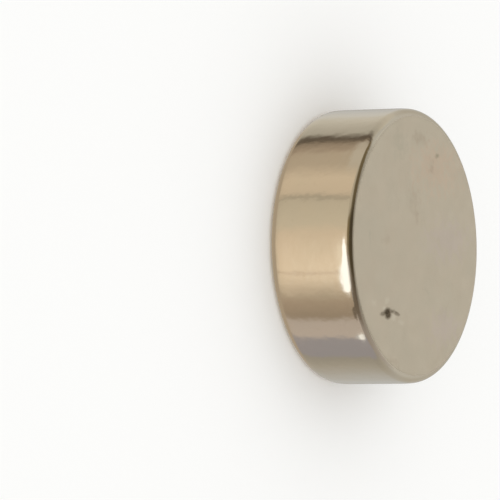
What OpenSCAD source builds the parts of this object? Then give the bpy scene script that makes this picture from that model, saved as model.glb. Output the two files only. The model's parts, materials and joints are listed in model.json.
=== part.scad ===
// Disc magnet: one pressed and sintered disc, ground flat on both pole faces,
// tumbled until its edges are round and then nickel plated. One piece, in millimetres.
// The lower pole face lies on the plane Z = 0, and the Z axis is the disc's own axis.

/* [Disc] */
// Diameter across the rim
disc_d = 12; // [10:0.5:40]
// Thickness from one pole face to the other
disc_h = 4; // [1.5:0.25:20]
// Radius of the rounded edge between the rim and each pole face
edge_r = 0.4; // [0.1:0.05:0.7]

/* [Nick in the upper face] */
// Distance from the rim in to the middle of the nick
nick_inset = 2; // [1.3:0.1:3]
// Direction of the nick from the centre of the face, anticlockwise from +X
nick_angle = -44.5; // [-180:0.5:180]
// Direction of the gouge, anticlockwise from the line that runs out to the rim
nick_turn = 139; // [-180:1:180]
// Length of the gouge, the nick's long shallow dent
gouge_l = 1.2; // [0.8:0.05:1.4]
// Width of the gouge
gouge_w = 0.14; // [0.1:0.02:0.24]
// Depth of the gouge
gouge_depth = 0.025; // [0.015:0.005:0.04]

/* [Deeper chip in the side of the gouge] */
// Distance along the gouge from its middle to the chip
chip_shift = 0.1; // [0:0.05:0.4]
// Width of the round chip
chip_w = 0.42; // [0.3:0.02:0.6]
// Depth of the chip
chip_depth = 0.05; // [0.03:0.01:0.08]

/* [Scratch that trails off the gouge] */
// Length of the scratch
scratch_l = 0.6; // [0.4:0.05:1]
// Width of the scratch
scratch_w = 0.12; // [0.08:0.02:0.2]
// Depth of the scratch
scratch_depth = 0.02; // [0.01:0.005:0.03]
// Angle by which the scratch swings away from the gouge's own direction
scratch_swing = 22; // [0:1:40]

/* [Hidden] */

// Facets round the whole disc and round the small dents
DISC_FACETS = 180;
DENT_FACETS = 72;

disc_r = disc_d / 2;

// Radius of the circle that cuts a chord of one length to one depth
function chord_radius(chord, depth) = (chord * chord / 4 + depth * depth) / (2 * depth);

// Half of the disc's section: two straight pole faces, a straight rim and two quarter rounds
module disc_section() {
    flat_r = disc_r - edge_r;
    square([flat_r, disc_h]);
    translate([0, edge_r]) square([disc_r, disc_h - 2 * edge_r]);
    for (z = [edge_r, disc_h - edge_r]) {
        translate([flat_r, z]) circle(r = edge_r, $fn = DENT_FACETS);
    }
}

// A ring like a tyre, standing on its tread, that leaves a long oval dent in the plane Z = 0.
// The dent runs along X: the tyre's outer radius sets its length and the tread's its width.
module long_dent_tool(length, width, depth) {
    outer_r = chord_radius(length, depth);
    tread_r = chord_radius(width, depth);
    translate([0, 0, outer_r - depth]) rotate([90, 0, 0]) {
        rotate_extrude($fn = DISC_FACETS) {
            translate([outer_r - tread_r, 0]) circle(r = tread_r, $fn = DENT_FACETS);
        }
    }
}

// A ball that leaves a round dent in the plane Z = 0
module round_dent_tool(width, depth) {
    ball_r = chord_radius(width, depth);
    translate([0, 0, ball_r - depth]) sphere(r = ball_r, $fn = DENT_FACETS);
}

// The three dents that make up the nick, with the middle of the gouge at the origin.
// The chip is centred on the gouge's side edge, and the scratch starts at the gouge's end.
module nick_tools() {
    long_dent_tool(gouge_l, gouge_w, gouge_depth);
    translate([chip_shift, -gouge_w / 2, 0]) round_dent_tool(chip_w, chip_depth);
    translate([gouge_l / 2, 0, 0]) rotate([0, 0, -scratch_swing]) {
        translate([scratch_l / 2, 0, 0]) long_dent_tool(scratch_l, scratch_w, scratch_depth);
    }
}

module disc() {
    color([0.71, 0.66, 0.58]) difference() {
        rotate_extrude($fn = DISC_FACETS) disc_section();
        rotate([0, 0, nick_angle]) translate([disc_r - nick_inset, 0, disc_h]) {
            rotate([0, 0, nick_turn]) nick_tools();
        }
    }
}

disc();
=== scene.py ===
"""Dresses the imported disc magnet: one nickel-plated disc that lies flat on a pale floor.

Everything is in metres in the part's own frame: +Z is the disc's axis and the floor is Z = 0.
An azimuth is counted from -Y, the camera's side, towards -X, the side that is up in the picture.
"""

import json
import math

import bmesh
import bpy
from mathutils import Matrix, Vector, noise


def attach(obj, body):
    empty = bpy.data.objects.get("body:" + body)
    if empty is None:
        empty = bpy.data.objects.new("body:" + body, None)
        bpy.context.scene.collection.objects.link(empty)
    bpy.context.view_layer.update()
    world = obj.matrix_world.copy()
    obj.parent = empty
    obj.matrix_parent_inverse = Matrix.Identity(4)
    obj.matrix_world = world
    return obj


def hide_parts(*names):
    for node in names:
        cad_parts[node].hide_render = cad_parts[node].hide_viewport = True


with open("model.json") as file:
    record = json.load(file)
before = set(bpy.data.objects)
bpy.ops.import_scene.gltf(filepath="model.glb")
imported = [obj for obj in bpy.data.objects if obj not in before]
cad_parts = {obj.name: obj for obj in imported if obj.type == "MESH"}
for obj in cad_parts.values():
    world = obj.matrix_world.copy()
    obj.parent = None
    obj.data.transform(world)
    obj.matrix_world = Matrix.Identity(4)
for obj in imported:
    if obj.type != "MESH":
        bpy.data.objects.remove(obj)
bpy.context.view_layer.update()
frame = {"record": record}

MM = 0.001

# The disc's own sizes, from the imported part
mounts = {mount["name"]: mount for mount in frame["record"]["mounts"]}
DISC_R = mounts["rim"]["dims"]["r_mm"] * MM
DISC_H = mounts["upper_face"]["pos_m"][2]
EDGE_R = (DISC_H - mounts["rim"]["dims"]["length_mm"] * MM) / 2

# The nick in the upper face, as in the part's source
NICK_INSET = 2 * MM
NICK_ANGLE = math.radians(-44.5)
NICK_TURN = math.radians(139)
GOUGE = {"length": 1.2 * MM, "width": 0.14 * MM, "depth": 0.025 * MM}
CHIP = {"length": 0.42 * MM, "width": 0.42 * MM, "depth": 0.05 * MM}
CHIP_SHIFT = 0.1 * MM
SCRATCH = {"length": 0.6 * MM, "width": 0.12 * MM, "depth": 0.02 * MM}
SCRATCH_SWING = math.radians(22)

# The nick's outline wanders by this much over about this length, and its bed is pitted this finely
WANDER = 0.022 * MM
WANDER_LENGTH = 0.11 * MM
PIT_LENGTH = 0.035 * MM

# Where the nick has broken through the plating, in mm from the middle of the gouge:
# distance along it and across it, half length, half width, direction and darkness
BARE_SPOTS = (
    (0.075, 0.016, 0.35, 0.19, 0, 0.88),
    (0.110, -0.130, 0.30, 0.18, 0, 0.72),
    (-0.320, -0.020, 0.32, 0.11, 0, 0.42),
    (0.500, 0.000, 0.30, 0.10, -5, 0.40),
    (0.900, -0.135, 0.32, 0.10, -18, 0.38),
)

# The plating's colour drifts between two tones; its specks, and the bare magnet in the nick
COOL_NICKEL = (0.650, 0.583, 0.465, 1)
WARM_NICKEL = (0.672, 0.590, 0.468, 1)
SPECK = (0.40, 0.33, 0.24, 1)
BARE_MAGNET = (0.135, 0.10, 0.058, 1)

# Lowest and highest roughness of the polished rim and of the ground faces, and that of bare magnet
POLISHED_ROUGHNESS = (0.09, 0.13)
GROUND_ROUGHNESS = (0.415, 0.445)
BARE_ROUGHNESS = 0.75

# Height of the waves in the rim and of the fine grain, which is strongest on the faces
WAVE_HEIGHT = 0.018 * MM
GRAIN_HEIGHT = 0.002 * MM

# Stain and tint colours, and the painted glint on the raised burrs round the nick
OLIVE = (0.34, 0.31, 0.21, 1)
BROWN = (0.46, 0.36, 0.26, 1)
GREY = (0.53, 0.49, 0.38, 1)
BLUSH = (0.70, 0.57, 0.44, 1)
MAUVE = (0.665, 0.575, 0.51, 1)
# A painted glint: lighter nickel that stands in for light caught by the raised burrs
PAINTED_BURR_GLINT = (0.78, 0.72, 0.60, 1)

# Faint stains and tints on the upper face, and painted glints on the raised burrs round the nick, in mm:
# centre, half length, half width, direction, strength and colour
STAINS_AND_BURR_GLINTS = (
    ((-3.40, 2.00), 2.60, 1.40, 90, 0.80, BLUSH),
    ((-0.20, 2.95), 2.40, 1.20, 90, 0.62, MAUVE),
    ((3.65, 2.45), 1.80, 0.95, 90, 0.62, MAUVE),
    ((-3.94, 2.12), 0.22, 0.13, 90, 0.62, OLIVE),
    ((-3.43, 1.56), 0.42, 0.30, 0, 0.32, BROWN),
    ((-1.90, -0.05), 0.75, 0.60, 0, 0.18, BROWN),
    ((-1.30, 0.08), 0.50, 0.24, 0, 0.22, BROWN),
    ((-4.66, 0.60), 0.95, 0.36, 85, 0.30, BROWN),
    ((-4.40, -1.25), 0.88, 0.70, 90, 0.38, GREY),
    ((-0.26, -4.18), 0.42, 0.13, 0, 0.38, GREY),
    ((-0.30, -2.72), 0.45, 0.26, 90, 0.17, BROWN),
    ((1.99, 0.89), 0.30, 0.13, 60, 0.24, GREY),
    ((5.02, -2.15), 0.50, 0.20, 70, 0.25, BROWN),
    # Painted glints: lighter spots that stand in for light caught by the raised burrs round the nick
    ((2.64, -2.98), 0.22, 0.12, 90, 0.58, PAINTED_BURR_GLINT),
    ((3.08, -2.20), 0.32, 0.19, 80, 0.50, PAINTED_BURR_GLINT),
    ((2.36, -2.71), 0.34, 0.17, 110, 0.38, PAINTED_BURR_GLINT),
    ((2.41, -3.90), 0.34, 0.17, 90, 0.34, PAINTED_BURR_GLINT),
    ((3.34, -1.45), 0.38, 0.17, 80, 0.36, PAINTED_BURR_GLINT),
)

# Mesh density: facets round the disc, and steps along the rounded edge, the lead-in and the rim
SPOKES = 512
EDGE_STEPS = 18
EASE_STEPS = 8
RIM_STEPS = 4

# Width of the flat ring inside each rounded edge, which keeps the edge's shading off the face
GUARD = 0.04 * MM

# The wide shallow arc by which the rim leads into each rounded edge
EASE_LENGTH = 0.42 * MM
EASE_TILT = math.radians(4)

# The satin finish runs this far round the edge in full, and is gone at the second tilt
SATIN_HOLD = math.radians(6)
SATIN_END = math.radians(22)

# The fine square grid in the upper face that holds the nick: two corners and one square's side
PATCH_LOW = Vector((2.35 * MM, -3.62 * MM))
PATCH_HIGH = Vector((3.50 * MM, -1.45 * MM))
PATCH_STEP = 0.0125 * MM

# The camera, fitted to the outline, edges and face of the disc in the photograph
VIEW_ELEVATION = math.radians(29.95)
VIEW_ROLL = math.radians(-1.1)
VIEW_DISTANCE = 240 * MM
VIEW_TARGET = Vector((0.046 * MM, 0, -4.352 * MM))
VIEW_CLIP = (10 * MM, 2000 * MM)

# Focal length and sensor width, which Blender takes in mm
VIEW_LENS = 390.1
VIEW_SENSOR = 36

# The studio: a round tent of glowing card that only the metal's reflections see
TENT_R = 1.0
TENT_TOP = 0.70
TENT_BASE = -1.0

# Rows, columns and squares of the tent's mesh; the rows are closer where the wall's glow changes fast
TENT_ROWS = (
    TENT_BASE, -0.85, -0.70, -0.58, -0.52, -0.45, -0.35, -0.25, -0.1,
    0, 0.1, 0.2, 0.3, 0.4, 0.5, 0.6, TENT_TOP,
)
TENT_COLUMNS = 720
CEILING_SQUARES = 80
RIBBON_STEPS = 6

# The cards bow towards -Y at mid height by this share of their azimuth, up to this elevation
BOW = 0.08
BOW_REACH = 30

# The pale surroundings, and the floor with its half width and its drop below the disc
BACKGROUND = (1.0, 1.0, 0.99)
FLOOR_COLOUR = (0.98, 0.98, 0.975)
FLOOR_HALF = 3.0
FLOOR_DROP = 0.01 * MM

# Gels: the colour of a card whose brightness is 1
DAYLIGHT = (0.95, 0.98, 1.04)
SLATE = (0.89, 0.88, 1.00)
ROSE = (1.00, 0.91, 0.87)
UMBER = (1.00, 0.83, 0.67)
BRONZE = (1.00, 0.81, 0.50)
PEACH = (1.00, 0.87, 0.71)
KHAKI = (1.00, 0.92, 0.77)
CREAM = (1.00, 0.97, 0.89)
SILVER = (0.995, 1.00, 0.985)

# Cards round the tent's wall: first azimuth and brightness, last azimuth and brightness, gel
WALL_CARDS = (
    (-180, 0.45, -172, 0.45, CREAM),
    (-160, 0.58, -138, 0.58, SILVER),
    (-120, 0.51, -107, 0.43, CREAM),
    (-104, 0.47, -84, 0.48, SLATE),
    (-80, 0.66, -65, 0.63, ROSE),
    (-60, 0.42, -46, 0.53, UMBER),
    (-42, 0.60, -25, 1.00, PEACH),
    (-23.5, 1.01, -22.5, 1.02, PEACH),
    (-22.2, 0.74, -20.6, 0.74, UMBER),
    (-20, 1.04, 12, 0.87, PEACH),
    (20, 0.77, 40, 0.70, KHAKI),
    (42, 0.53, 43.5, 0.53, KHAKI),
    (46.5, 0.80, 61, 0.84, PEACH),
    (64, 0.79, 74, 0.62, PEACH),
    (76, 0.62, 86, 0.60, PEACH),
    (90, 0.50, 98, 0.36, UMBER),
    (101.5, 0.15, 105.5, 0.15, UMBER),
    (111, 0.56, 133, 0.73, CREAM),
    (144, 0.75, 160, 0.60, SILVER),
    (172, 0.45, 180, 0.45, CREAM),
)

# Glows laid over the lower wall: heights that each rises between, azimuths that it rises and
# falls between, brightness, gel and share
WALL_LIFTS = (
    ((-0.53, -0.46), (60, 80), (95, 99), 0.72, CREAM, 0.60),
    ((-0.56, -0.45), (-35, -23), (-2, 12), 1.50, CREAM, 0.28),
)

# The rear wall: its brightness low down and high up, and the heights that this changes between;
# then the heights where its foot fades in, and the azimuths where the cards give way to it
REAR_LOW = 0.57
REAR_HIGH = 0.69
REAR_RISE = (0.10, 0.55)
REAR_FOOT = (-0.48, -0.05)
REAR_EDGE = (130, 150)

# A window high up in the rear wall, which runs on into the ceiling: its brightness in each, and
# the heights and the azimuths where it fades in
WINDOW_IN_WALL = 1.65
WINDOW_IN_CEILING = 1.15
WINDOW_SILL = (0.42, 0.56)
WINDOW_SIDE = (170, 177)

# Brightness of the tent's base, and the height below which the wall fades into it
BASE_BRIGHTNESS = 0.55
BASE_FADE = -0.66

# Distance from the disc to the cards hung inside the wall
HUNG_R = 0.94

# Hung cards, each a ribbon: azimuth, elevation, half width and brightness up its spine
HUNG_CARDS = {
    "key_softbox": (DAYLIGHT, (
        (-27, -24.3, 9, 1.0),
        (-27, -22.5, 10.5, 1.8),
        (-16, -14, 23, 1.8),
        (-16, 10, 23.5, 1.8),
        (-17, 22, 20, 1.8),
        (-22, 34, 14, 1.4),
        (-27, 46, 9, 0.9),
        (-30, 55, 4, 0.6),
    )),
    "side_softbox": (DAYLIGHT, (
        (-80.5, -25, 2, 0.6),
        (-80.5, -20, 3, 1.4),
        (-80.5, 12, 3, 1.3),
        (-81, 30, 2, 0.9),
    )),
    "post": (UMBER, (
        (-58.5, -9, 3, 0.38),
        (-58.5, 2, 4.5, 0.28),
        (-58, 16, 6, 0.22),
        (-56.5, 35, 5.5, 0.24),
    )),
}

# Dark strips under the ceiling: x, y, half width and brightness of each strip's two ends, and gel
FLAGS = (
    ((-1.30, 0.34, 0.12, 0.30), (-0.65, 0.10, 0.24, 0.21), BRONZE),
    ((-0.65, 0.10, 0.24, 0.21), (-0.25, 0.05, 0.30, 0.17), BRONZE),
    ((-0.25, 0.05, 0.30, 0.17), (-0.03, 0.03, 0.28, 0.09), BRONZE),
    ((-0.18, -0.70, 0.16, 0.36), (-0.03, -0.10, 0.26, 0.09), BRONZE),
    ((-0.03, -0.10, 0.26, 0.09), (-0.03, 0.06, 0.26, 0.09), BRONZE),
    ((-0.03, 0.03, 0.26, 0.08), (0.32, -0.10, 0.22, 0.21), UMBER),
    ((0.32, -0.10, 0.22, 0.21), (0.86, -0.60, 0.13, 0.22), UMBER),
    ((-0.02, 0.10, 0.36, 0.28), (0.00, 1.00, 0.20, 0.56), CREAM),
)


def smooth_step(edge_0, edge_1, value):
    """0 below edge_0, 1 above edge_1 and a smooth rise between them."""
    share = min(1, max(0, (value - edge_0) / (edge_1 - edge_0)))
    return share * share * (3 - 2 * share)


def chord_radius(chord, depth):
    """Radius of the circle that cuts a chord of this length to this depth."""
    return (chord * chord / 4 + depth * depth) / (2 * depth)


def dent_depth(along, across, length, width, depth):
    """Depth of the oval dent that a tyre-shaped tool leaves, at a point measured from its middle."""
    outer = chord_radius(length, depth)
    tread = chord_radius(width, depth)
    if abs(across) >= tread:
        return 0
    wheel = outer - tread + math.sqrt(tread * tread - across * across)
    if abs(along) >= wheel:
        return 0
    return max(0, math.sqrt(wheel * wheel - along * along) - (outer - depth))


def turned(point, angle):
    """A plane point turned anticlockwise by an angle."""
    return Matrix.Rotation(angle, 2) @ point


def nick_place(x, y):
    """A point of the upper face in the gouge's own frame, moved a little so that the nick is ragged."""
    middle = turned(Vector((DISC_R - NICK_INSET, 0)), NICK_ANGLE)
    wander = noise.noise_vector(Vector((x, y, 0)) / WANDER_LENGTH) * WANDER
    return turned(Vector((x, y)) - middle, -NICK_ANGLE - NICK_TURN) + wander.xy


def nick_depth(x, y):
    """How far the nick has cut the upper face down at x, y."""
    local = nick_place(x, y)
    gouge = dent_depth(local.x, local.y, **GOUGE)
    chip = dent_depth(local.x - CHIP_SHIFT, local.y + GOUGE["width"] / 2, **CHIP)
    tail = turned(local - Vector((GOUGE["length"] / 2, 0)), SCRATCH_SWING)
    scratch = dent_depth(tail.x - SCRATCH["length"] / 2, tail.y, **SCRATCH)
    deepest = max(gouge, chip, scratch)
    return deepest * (1 + 0.5 * noise.noise(Vector((x, y, 1)) / PIT_LENGTH))


def bareness(x, y):
    """How much bare magnet the nick shows at x, y: 0 where the plating is whole."""
    local = nick_place(x, y) / MM
    barest = 0
    for along, across, half_length, half_width, direction, darkness in BARE_SPOTS:
        offset = turned(local - Vector((along, across)), -math.radians(direction))
        reach = math.hypot(offset.x / half_length, offset.y / half_width)
        barest = max(barest, darkness * smooth_step(1.3, 0.3, reach))
    return barest


def ring(builder, radius, height):
    """One ring of vertices round the axis."""
    turn = 2 * math.pi / SPOKES
    return [
        builder.verts.new((radius * math.cos(i * turn), radius * math.sin(i * turn), height))
        for i in range(SPOKES)
    ]


def bridge(builder, lower, upper):
    """Quads between two rings."""
    for i in range(SPOKES):
        j = (i + 1) % SPOKES
        builder.faces.new((lower[i], lower[j], upper[j], upper[i]))


def loop_edges(builder, loop):
    """The edges of a closed loop of vertices, made where they are missing."""
    edges = []
    for start, end in zip(loop, loop[1:] + loop[:1]):
        edges.append(builder.edges.get((start, end)) or builder.edges.new((start, end)))
    return edges


def nick_patch(builder, nick_layer):
    """A fine grid in the upper face that holds the nick. Returns its outer loop."""
    columns = round((PATCH_HIGH.x - PATCH_LOW.x) / PATCH_STEP)
    rows = round((PATCH_HIGH.y - PATCH_LOW.y) / PATCH_STEP)
    grid = []
    for row in range(rows + 1):
        line = []
        for column in range(columns + 1):
            x = PATCH_LOW.x + column * PATCH_STEP
            y = PATCH_LOW.y + row * PATCH_STEP
            inside = 0 < row < rows and 0 < column < columns
            depth = nick_depth(x, y) if inside else 0
            vertex = builder.verts.new((x, y, DISC_H - depth))
            vertex[nick_layer] = bareness(x, y)
            line.append(vertex)
        grid.append(line)
    for low, high in zip(grid, grid[1:]):
        for column in range(columns):
            builder.faces.new((low[column], low[column + 1], high[column + 1], high[column]))
    left = [line[0] for line in grid]
    right = [line[-1] for line in grid]
    return grid[0] + right[1:] + grid[-1][-2::-1] + left[-2:0:-1]


def edge_section():
    """The lower edge's section, from the pole face out round the edge and up the lead-in to the rim.

    Each point is its radius, its height and how satin the plating is there, from 0 to 1.
    """
    ease_r = EASE_LENGTH / EASE_TILT
    ease_top = EDGE_R + (ease_r - EDGE_R) * math.sin(EASE_TILT)
    centre_r = DISC_R - ease_r + (ease_r - EDGE_R) * math.cos(EASE_TILT)
    section = [(centre_r - GUARD, 0, 1), (centre_r, 0, 1)]
    for step in range(1, EDGE_STEPS + 1):
        tilt = (math.radians(90) - EASE_TILT) * step / EDGE_STEPS
        satin_left = smooth_step(SATIN_END, SATIN_HOLD, tilt)
        section.append((centre_r + EDGE_R * math.sin(tilt), EDGE_R * (1 - math.cos(tilt)), satin_left))
    for step in range(1, EASE_STEPS + 1):
        tilt = EASE_TILT * (1 - step / EASE_STEPS)
        section.append((DISC_R - ease_r * (1 - math.cos(tilt)), ease_top - ease_r * math.sin(tilt), 0))
    return section


def disc_section():
    """The disc's whole section: the lower edge, the straight rim and the upper edge."""
    lower = edge_section()
    rim_low = lower[-1][1]
    rim_length = DISC_H - 2 * rim_low
    rim = [(DISC_R, rim_low + rim_length * step / RIM_STEPS, 0) for step in range(1, RIM_STEPS)]
    upper = [(radius, DISC_H - height, satin_left) for radius, height, satin_left in reversed(lower)]
    return lower + rim + upper


def build_disc():
    """The plated disc: a fine lathe mesh of its section, with the nick cut in the upper face."""
    builder = bmesh.new()
    satin = builder.verts.layers.float.new("satin")
    nick = builder.verts.layers.float.new("nick")

    rings = []
    for radius, height, satin_left in disc_section():
        rings.append(ring(builder, radius, height))
        for vertex in rings[-1]:
            vertex[satin] = satin_left
    for lower, upper in zip(rings, rings[1:]):
        bridge(builder, lower, upper)

    builder.faces.new(reversed(rings[0]))
    patch_start = len(builder.verts)
    patch_loop = nick_patch(builder, nick)
    builder.verts.ensure_lookup_table()
    for vertex in builder.verts[patch_start:]:
        vertex[satin] = 1
    border = loop_edges(builder, rings[-1]) + loop_edges(builder, patch_loop)
    bmesh.ops.triangle_fill(builder, edges=border, use_beauty=True, normal=(0, 0, 1))
    bmesh.ops.triangulate(builder, faces=[face for face in builder.faces if len(face.verts) > 4])
    bmesh.ops.recalc_face_normals(builder, faces=builder.faces)
    for face in builder.faces:
        face.smooth = True

    mesh = bpy.data.meshes.new("plated_disc")
    builder.to_mesh(mesh)
    builder.free()
    piece = bpy.data.objects.new("plated_disc", mesh)
    bpy.context.scene.collection.objects.link(piece)
    return piece


class Nodes:
    """Short calls for building a node tree."""

    def __init__(self, owner):
        owner.use_nodes = True
        self.tree = owner.node_tree
        self.tree.nodes.clear()

    def add(self, kind, inputs=None, **settings):
        """A node with its settings and inputs; an input is a value or another node's output."""
        node = self.tree.nodes.new(kind)
        for name, value in settings.items():
            setattr(node, name, value)
        for name, value in (inputs or {}).items():
            socket = node.inputs[name]
            if isinstance(value, bpy.types.NodeSocket):
                self.tree.links.new(value, socket)
            else:
                socket.default_value = value
        return node

    def math(self, operation, first, second=0.0):
        """One sum, product or the like."""
        return self.add("ShaderNodeMath", {0: first, 1: second}, operation=operation).outputs[0]

    def mix(self, share, first, second):
        """A colour between two colours, which are the mix node's sockets 6 and 7."""
        node = self.add("ShaderNodeMix", {0: share, 6: first, 7: second}, data_type="RGBA")
        return node.outputs[2]

    def blend(self, share, first, second):
        """A number between two numbers."""
        return self.add("ShaderNodeMix", {0: share, 2: first, 3: second}).outputs[0]

    def noise(self, place, scale, detail=2.0):
        """Cloudy noise from 0 to 1."""
        inputs = {"Vector": place, "Scale": scale, "Detail": detail}
        return self.add("ShaderNodeTexNoise", inputs).outputs["Fac"]

    def remap(self, value, low, high, to_low=0.0, to_high=1.0):
        """A value's range stretched to another range, and held inside it."""
        inputs = {"Value": value, "From Min": low, "From Max": high, "To Min": to_low, "To Max": to_high}
        return self.add("ShaderNodeMapRange", inputs).outputs[0]


def stained_and_glinted(nodes, place, satin, colour):
    """The colour with every stain and tint laid over it, and the painted burr glints, on the satin of
    the upper face only.
    """
    ragged = nodes.remap(nodes.noise(place, 3.0, 3.0), 0.3, 0.7, -0.5, 0.5)
    for (x, y), half_length, half_width, direction, strength, mark_colour in STAINS_AND_BURR_GLINTS:
        inputs = {
            "Vector": place,
            "Location": (x, y, DISC_H / MM),
            "Rotation": (0, 0, math.radians(direction)),
            "Scale": (half_length, half_width, 1.0),
        }
        local = nodes.add("ShaderNodeMapping", inputs, vector_type="TEXTURE").outputs[0]
        reach = nodes.add("ShaderNodeVectorMath", {0: local}, operation="LENGTH").outputs["Value"]
        spot = nodes.remap(nodes.math("ADD", reach, ragged), 1.0, 0.2, 0.0, strength)
        colour = nodes.mix(nodes.math("MULTIPLY", spot, satin), colour, mark_colour)
    return colour


def nickel_plating():
    """Slightly warm nickel: polished and a little wavy on the rim, satin on the pole faces."""
    material = bpy.data.materials.new("nickel_plating")
    nodes = Nodes(material)
    in_metres = nodes.add("ShaderNodeTexCoord").outputs["Object"]
    to_mm = {"Vector": in_metres, "Scale": (1 / MM, 1 / MM, 1 / MM)}
    place = nodes.add("ShaderNodeMapping", to_mm).outputs[0]
    satin = nodes.add("ShaderNodeAttribute", attribute_name="satin").outputs["Fac"]
    nick = nodes.add("ShaderNodeAttribute", attribute_name="nick").outputs["Fac"]

    clouds = nodes.noise(place, 0.55, 4.0)
    specks = nodes.noise(place, 5.0, 3.0)
    plain = nodes.mix(nodes.remap(clouds, 0.3, 0.7), COOL_NICKEL, WARM_NICKEL)
    speckled = nodes.mix(nodes.remap(specks, 0.62, 0.80, 0.0, 0.10), plain, SPECK)
    # Stains, tints and the painted burr glints on the upper face, then the bare magnet in the nick
    chipped = nodes.mix(nick, stained_and_glinted(nodes, place, satin, speckled), BARE_MAGNET)

    polished = nodes.remap(clouds, 0.3, 0.7, *POLISHED_ROUGHNESS)
    ground = nodes.remap(nodes.noise(place, 1.6, 4.0), 0.3, 0.7, *GROUND_ROUGHNESS)
    roughness = nodes.blend(nick, nodes.blend(satin, polished, ground), BARE_ROUGHNESS)

    waves = nodes.blend(0.2, nodes.noise(place, 0.9, 2.0), nodes.noise(place, 3.0, 2.0))
    wavy = nodes.add("ShaderNodeBump", {
        "Height": waves,
        "Strength": nodes.remap(satin, 0, 1, 1.0, 0.12),
        "Distance": WAVE_HEIGHT,
    })
    grain = nodes.noise(place, 22.0, 3.0)
    grainy = nodes.add("ShaderNodeBump", {
        "Height": grain,
        "Strength": nodes.remap(satin, 0, 1, 0.05, 0.5),
        "Distance": GRAIN_HEIGHT,
        "Normal": wavy.outputs[0],
    })

    shader = nodes.add("ShaderNodeBsdfPrincipled", {
        "Base Color": chipped,
        "Metallic": 1.0,
        "Roughness": roughness,
        "Normal": grainy.outputs[0],
    })
    nodes.add("ShaderNodeOutputMaterial", {"Surface": shader.outputs[0]})
    return material


def tinted(gel, brightness):
    """The glow of a card with this gel, as a colour with alpha."""
    return tuple(channel * brightness for channel in gel) + (1.0,)


def between(first, second, share):
    """Each value of a glow or a row, part of the way from the first to the second."""
    return tuple(a + (b - a) * share for a, b in zip(first, second))


def wall_glow(azimuth):
    """Glow of the tent's wall: along a card it fades from edge to edge, and across a gap as well."""
    stops = []
    for start, start_brightness, end, end_brightness, gel in WALL_CARDS:
        stops.append((start, tinted(gel, start_brightness)))
        stops.append((end, tinted(gel, end_brightness)))
    for (start, first), (end, second) in zip(stops, stops[1:]):
        if start <= azimuth <= end:
            return between(first, second, (azimuth - start) / (end - start))
    return stops[-1][1]


def lifted(glow, azimuth, height):
    """The wall's glow with every lift laid over it."""
    for (low, high), (rise_from, rise_to), (fall_from, fall_to), brightness, gel, share in WALL_LIFTS:
        rise = smooth_step(low, high, height) * smooth_step(rise_from, rise_to, azimuth)
        cover = rise * smooth_step(fall_to, fall_from, azimuth)
        glow = between(glow, tinted(gel, brightness), share * cover)
    return glow


def rear_glow(azimuth, height):
    """Glow of the rear wall: pale, a little brighter higher up, with a window near the ceiling."""
    plain = between(tinted(CREAM, REAR_LOW), tinted(SILVER, REAR_HIGH), smooth_step(*REAR_RISE, height))
    window = smooth_step(*WINDOW_SILL, height) * smooth_step(*WINDOW_SIDE, abs(azimuth))
    return between(plain, tinted(SILVER, WINDOW_IN_WALL), window)


def tent_glow(azimuth, height):
    """Glow of the tent's wall at one point: the cards round it, the rear wall and the base's fade."""
    side = lifted(wall_glow(azimuth), azimuth, height)
    behind = smooth_step(*REAR_FOOT, height) * smooth_step(*REAR_EDGE, abs(azimuth))
    wall = between(side, rear_glow(azimuth, height), behind)
    return between(wall, tinted(PEACH, BASE_BRIGHTNESS), smooth_step(BASE_FADE, TENT_BASE, height))


def ceiling_glow(x, y):
    """Glow of the tent's ceiling: khaki to rose in front, pale behind, with dark strips across it."""
    beside = smooth_step(-0.4, 0.4, x)
    front = between(tinted(KHAKI, 0.60), tinted(ROSE, 0.42), beside)
    window = smooth_step(0.45, 0.75, y) * smooth_step(0.45, 0.20, abs(x))
    back = between(tinted(SILVER, 0.65), tinted(SILVER, WINDOW_IN_CEILING), window)
    glow = between(front, back, smooth_step(-0.3 + 0.3 * beside, 0.5 + 0.8 * beside, y))
    darkest = glow
    for start, end, gel in FLAGS:
        run = Vector(end[:2]) - Vector(start[:2])
        offset = Vector((x, y)) - Vector(start[:2])
        share = min(1, max(0, offset.dot(run) / run.length_squared))
        half, brightness = between(start[2:], end[2:], share)
        cover = smooth_step(1.5 * half, 0.5 * half, (offset - run * share).length)
        flagged = between(glow, tinted(gel, brightness), cover)
        darkest = tuple(min(pair) for pair in zip(darkest, flagged))
    return darkest


def bowed(azimuth, elevation):
    """The azimuth where a card's upright edge passes this elevation: it bows towards -Y half-way up."""
    bow = BOW * max(0, 1 - (elevation / BOW_REACH) ** 2)
    return azimuth * (1 - bow * (1 - (azimuth / 180) ** 2))


def place_at(azimuth, elevation, radius):
    """The point that lies this way from the disc."""
    turn = math.radians(bowed(azimuth, elevation))
    rise = math.radians(elevation)
    flat = radius * math.cos(rise)
    return Vector((-flat * math.sin(turn), -flat * math.cos(turn), radius * math.sin(rise)))


def glow_material():
    """Emission in the colour that each vertex of a card holds."""
    material = bpy.data.materials.new("card_glow")
    nodes = Nodes(material)
    colour = nodes.add("ShaderNodeAttribute", attribute_name="glow").outputs["Color"]
    shader = nodes.add("ShaderNodeEmission", {"Color": colour, "Strength": 1.0})
    nodes.add("ShaderNodeOutputMaterial", {"Surface": shader.outputs[0]})
    material.cycles.emission_sampling = "NONE"
    return material


def card(name, points, faces, glows, material):
    """A glowing card that is seen in reflections only."""
    mesh = bpy.data.meshes.new(name)
    mesh.from_pydata(points, [], faces)
    layer = mesh.color_attributes.new("glow", "FLOAT_COLOR", "POINT")
    for entry, glow in zip(layer.data, glows):
        entry.color = glow
    mesh.materials.append(material)
    thing = bpy.data.objects.new(name, mesh)
    bpy.context.scene.collection.objects.link(thing)
    thing.visible_camera = False
    thing.visible_diffuse = False


def grid_faces(rows, columns):
    """Faces of a grid of points that is stored row by row."""
    faces = []
    for row in range(rows - 1):
        for column in range(columns - 1):
            low = row * columns + column
            high = low + columns
            faces.append((low, low + 1, high + 1, high))
    return faces


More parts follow.
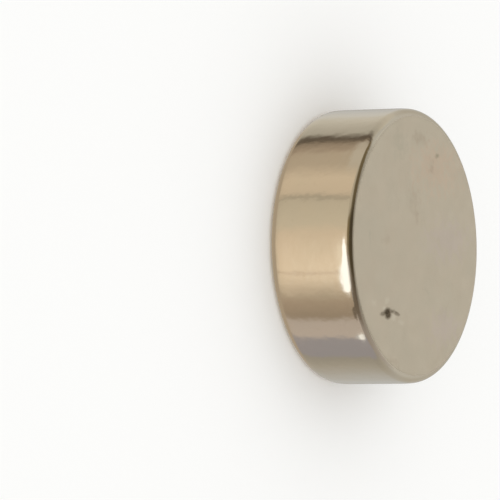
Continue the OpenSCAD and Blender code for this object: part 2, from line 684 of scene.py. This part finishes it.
def build_wall(material):
    """The tent's round wall."""
    azimuths = [360 * i / TENT_COLUMNS - 180 for i in range(TENT_COLUMNS + 1)]
    points = []
    glows = []
    for height in TENT_ROWS:
        elevation = math.degrees(math.atan2(height, TENT_R))
        for azimuth in azimuths:
            turn = math.radians(bowed(azimuth, elevation))
            points.append(Vector((-TENT_R * math.sin(turn), -TENT_R * math.cos(turn), height)))
            glows.append(tent_glow(azimuth, height))
    card("tent_wall", points, grid_faces(len(TENT_ROWS), len(azimuths)), glows, material)


def build_ceiling(material):
    """The tent's ceiling, as a flat square."""
    spread = [TENT_R * (2 * i / CEILING_SQUARES - 1) for i in range(CEILING_SQUARES + 1)]
    points = [Vector((x, y, TENT_TOP)) for y in spread for x in spread]
    glows = [ceiling_glow(point.x, point.y) for point in points]
    card("tent_ceiling", points, grid_faces(len(spread), len(spread)), glows, material)


def build_base(material):
    """The tent's base, as a flat square."""
    points = [Vector((x, y, TENT_BASE)) for y in (-TENT_R, TENT_R) for x in (-TENT_R, TENT_R)]
    card("tent_base", points, grid_faces(2, 2), [tinted(PEACH, BASE_BRIGHTNESS)] * 4, material)


def refined(spine):
    """A spine with more points between its own."""
    fine = [
        between(start, end, i / RIBBON_STEPS)
        for start, end in zip(spine, spine[1:])
        for i in range(RIBBON_STEPS)
    ]
    return fine + [spine[-1]]


def build_ribbon(name, gel, spine, material):
    """One card hung inside the wall."""
    points = []
    glows = []
    for azimuth, elevation, half_width, brightness in refined(spine):
        for side in (-1, 1):
            points.append(place_at(azimuth + side * half_width, elevation, HUNG_R))
            glows.append(tinted(gel, brightness))
    card(name, points, grid_faces(len(points) // 2, 2), glows, material)


def build_tent():
    """Wall, ceiling, base and hung cards of the tent."""
    material = glow_material()
    build_wall(material)
    build_ceiling(material)
    build_base(material)
    for name, (gel, spine) in HUNG_CARDS.items():
        build_ribbon(name, gel, spine, material)


def build_floor():
    """A plain pale floor. The metal's reflections pass through it to the tent."""
    mesh = bpy.data.meshes.new("floor")
    signs = ((-1, -1), (1, -1), (1, 1), (-1, 1))
    corners = [(x * FLOOR_HALF, y * FLOOR_HALF, -FLOOR_DROP) for x, y in signs]
    mesh.from_pydata(corners, [], [(0, 1, 2, 3)])
    material = bpy.data.materials.new("pale_floor")
    nodes = Nodes(material)
    shader = nodes.add("ShaderNodeBsdfDiffuse", {"Color": FLOOR_COLOUR + (1,)})
    nodes.add("ShaderNodeOutputMaterial", {"Surface": shader.outputs[0]})
    mesh.materials.append(material)
    floor = bpy.data.objects.new("floor", mesh)
    bpy.context.scene.collection.objects.link(floor)
    floor.visible_glossy = False


def build_world():
    """Even pale light from all round, for the floor and the background."""
    world = bpy.data.worlds.new("pale_world")
    bpy.context.scene.world = world
    nodes = Nodes(world)
    shader = nodes.add("ShaderNodeBackground", {"Color": BACKGROUND + (1,), "Strength": 1.0})
    nodes.add("ShaderNodeOutputWorld", {"Surface": shader.outputs[0]})
    world.cycles.sampling_method = "NONE"


def build_camera():
    """The photograph's camera: the disc's axis runs to the right of the picture."""
    data = bpy.data.cameras.new("camera")
    data.sensor_width = VIEW_SENSOR
    data.lens = VIEW_LENS
    data.clip_start, data.clip_end = VIEW_CLIP
    camera = bpy.data.objects.new("camera", data)
    bpy.context.scene.collection.objects.link(camera)
    back = Vector((0, -math.cos(VIEW_ELEVATION), math.sin(VIEW_ELEVATION)))
    rise = Vector((0, math.sin(VIEW_ELEVATION), math.cos(VIEW_ELEVATION)))
    side = Vector((1, 0, 0))
    picture_right = math.cos(VIEW_ROLL) * rise - math.sin(VIEW_ROLL) * side
    picture_up = -math.sin(VIEW_ROLL) * rise - math.cos(VIEW_ROLL) * side
    turn = Matrix((picture_right, picture_up, back)).transposed()
    camera.matrix_world = Matrix.Translation(VIEW_TARGET + back * VIEW_DISTANCE) @ turn.to_4x4()
    bpy.context.scene.camera = camera


build_camera()
build_world()
build_floor()
build_tent()

disc = build_disc()
disc.data.materials.append(nickel_plating())
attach(disc, "root")
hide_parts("disc")

bpy.context.scene.view_settings.view_transform = "Standard"
